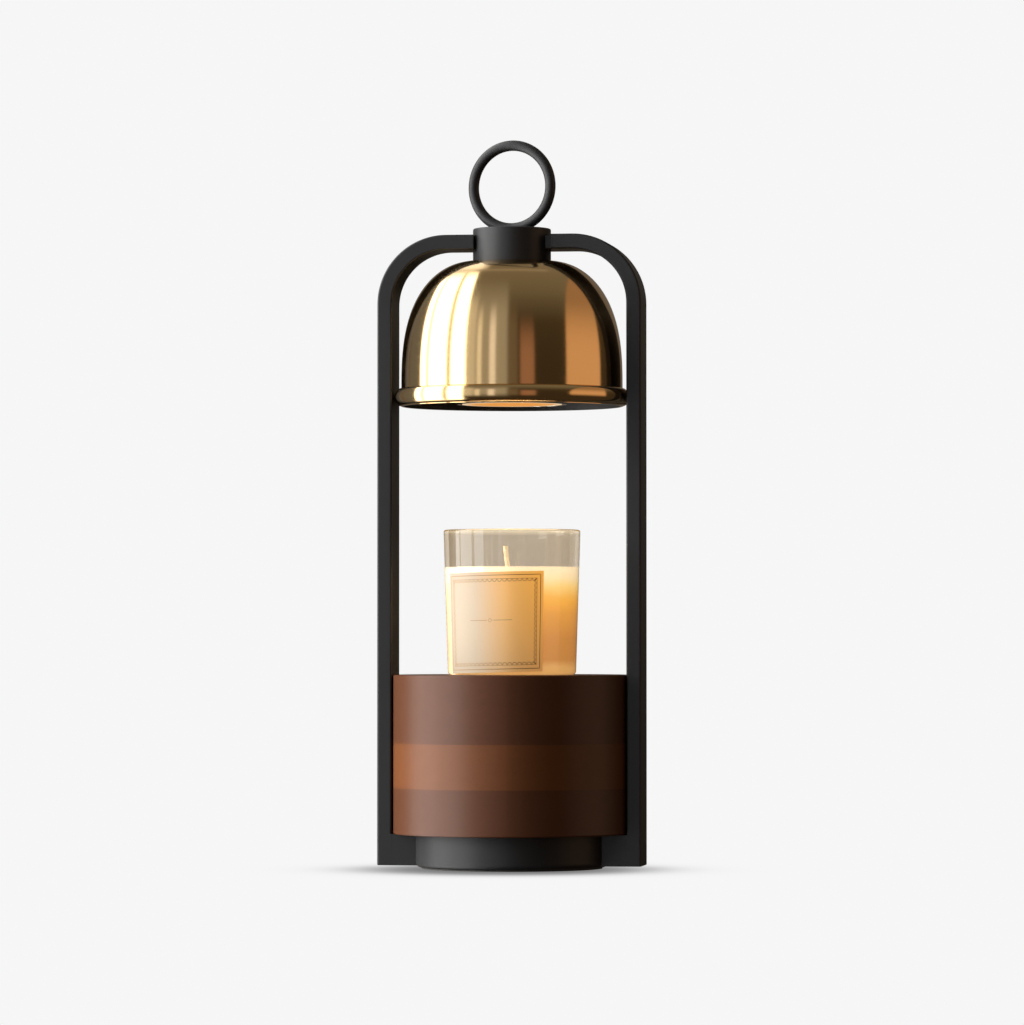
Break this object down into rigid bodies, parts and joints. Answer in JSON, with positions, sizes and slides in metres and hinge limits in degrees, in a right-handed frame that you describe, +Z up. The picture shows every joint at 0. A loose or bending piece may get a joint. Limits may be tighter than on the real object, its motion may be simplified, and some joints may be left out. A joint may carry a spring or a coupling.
{
  "type": "candle warmer lamp",
  "caption": "Free-standing candle warmer lamp: arched carrying frame with a swivel ring, bell shade over a twist-lock spot bulb, layered wooden drum base, and a jar candle that slides out.",
  "frame": {"origin": "centre of the foot ring's underside, on the table", "axes": "+Z up along the lamp's axis, front towards -Y, the two legs at -X and +X"},
  "size_m": [0.1212, 0.1082, 0.3321],
  "materials": {
    "frame_black": "satin black powder coat",
    "zinc_steel": "zinc plated",
    "brass_fitting": "turned",
    "shade_brass": "brushed and lacquered, black inside",
    "ceramic_white": "unglazed",
    "bulb_mirror": "silvered glass",
    "bulb_face": "frosted, lit warm",
    "bulb_glass": "clear",
    "filament": "lit wire",
    "walnut_dark": "satin oiled",
    "walnut_light": "satin oiled",
    "rubber_black": "matte",
    "plastic_black": "fine grain",
    "plastic_white": "matte",
    "lead_sheath": "silicone sheath",
    "ballast_iron": "as cast",
    "jar_glass": "clear",
    "wax": "smooth, translucent, lit warm",
    "wick_cotton": "waxed braid",
    "label_paper": "uncoated, thin printed border"
  },
  "bodies": {
    "lamp": {"frame_bow": "frame_black", "cross_bar": "frame_black", "leg_inserts": "zinc_steel", "frame_screws": "zinc_steel", "collar": "frame_black", "saddle_block": "frame_black", "handle_bush": "brass_fitting", "handle_washer": "zinc_steel", "shade": "shade_brass", "shade_screws": "zinc_steel", "holder_bracket": "zinc_steel", "holder_screws": "zinc_steel", "lamp_holder": "ceramic_white", "holder_contacts": "brass_fitting", "drum_upper": "walnut_dark", "drum_middle": "walnut_light", "drum_lower": "walnut_dark", "drum_screws": "zinc_steel", "cable_inlet": "plastic_black", "cord_clamp": "plastic_white", "clamp_screws": "zinc_steel", "terminal_block": "plastic_white", "terminal_screws": "zinc_steel", "earth_screw": "brass_fitting", "lamp_lead": "lead_sheath", "base_disc": "frame_black", "ballast_weights": "ballast_iron", "base_screws": "zinc_steel", "foot_ring": "rubber_black"},
    "ring": {"ring_handle": "frame_black", "handle_nut": "zinc_steel"},
    "bulb": {"bulb_reflector": "bulb_mirror", "bulb_lens": "bulb_face", "bulb_base": "ceramic_white", "bulb_pins": "zinc_steel", "bulb_capsule": "bulb_glass", "bulb_filament": "filament"},
    "candle": {"candle_glass": "jar_glass", "candle_wax": "wax", "candle_wick": "wick_cotton", "wick_tab": "zinc_steel", "candle_label": "label_paper"}
  },
  "joints": [
    {"name": "ring_swivel", "type": "hinge", "parent": "lamp", "child": "ring", "pos_m": [0, 0, 0.2893], "axis": [0, 0, 1], "continuous": true},
    {"name": "bulb_twist", "type": "hinge", "parent": "lamp", "child": "bulb", "pos_m": [0, 0, 0.2585], "axis": [0, 0, -1], "range_deg": [0, 25]},
    {"name": "candle_slide", "type": "slide", "parent": "lamp", "child": "candle", "axis": [0, -1, 0], "range_m": [0, 0.13]}
  ]
}
